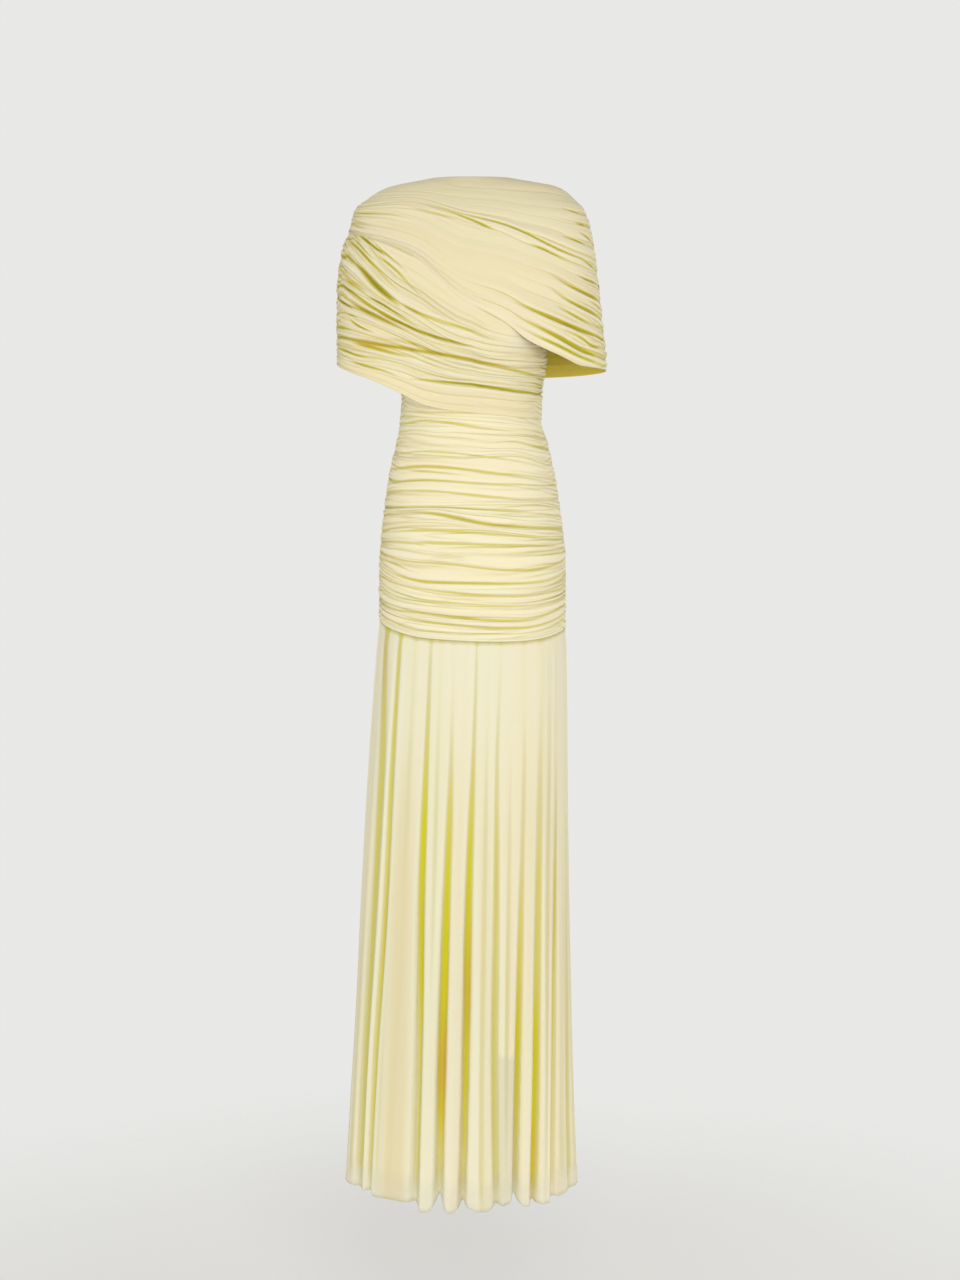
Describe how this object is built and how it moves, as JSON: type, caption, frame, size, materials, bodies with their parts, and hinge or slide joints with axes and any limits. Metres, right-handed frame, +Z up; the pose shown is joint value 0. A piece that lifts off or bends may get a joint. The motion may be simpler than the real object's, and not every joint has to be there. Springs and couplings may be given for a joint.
{
  "type": "draped wrap gown",
  "caption": "Floor-length gown of fine stretch mesh with a wrapped drape over both shoulders, a ruched body and a softly folded skirt, hollow as worn.",
  "frame": {"origin": "middle of the neckline, at the height where the wearer's shoulders carry the gown", "axes": "+Z up, +X towards the side of the outer-arm seam that gathers the upper wrap, -Y towards the front"},
  "size_m": [0.4083, 0.3248, 1.5033],
  "materials": {
    "drape": "fine matt stretch mesh, pale butter yellow, several layers",
    "body": "fine matt stretch mesh, ruched, pale butter yellow",
    "skirt": "sheer matt stretch mesh, pale butter yellow",
    "lining": "fine matt knit, pale butter yellow"
  },
  "bodies": {
    "root": {"upper_drape_front": "drape", "lower_drape_front": "drape", "drape_back": "drape", "body_front": "body", "body_back": "body", "skirt_front": "skirt", "skirt_back": "skirt", "lining_front": "lining", "lining_back": "lining"}
  },
  "joints": []
}
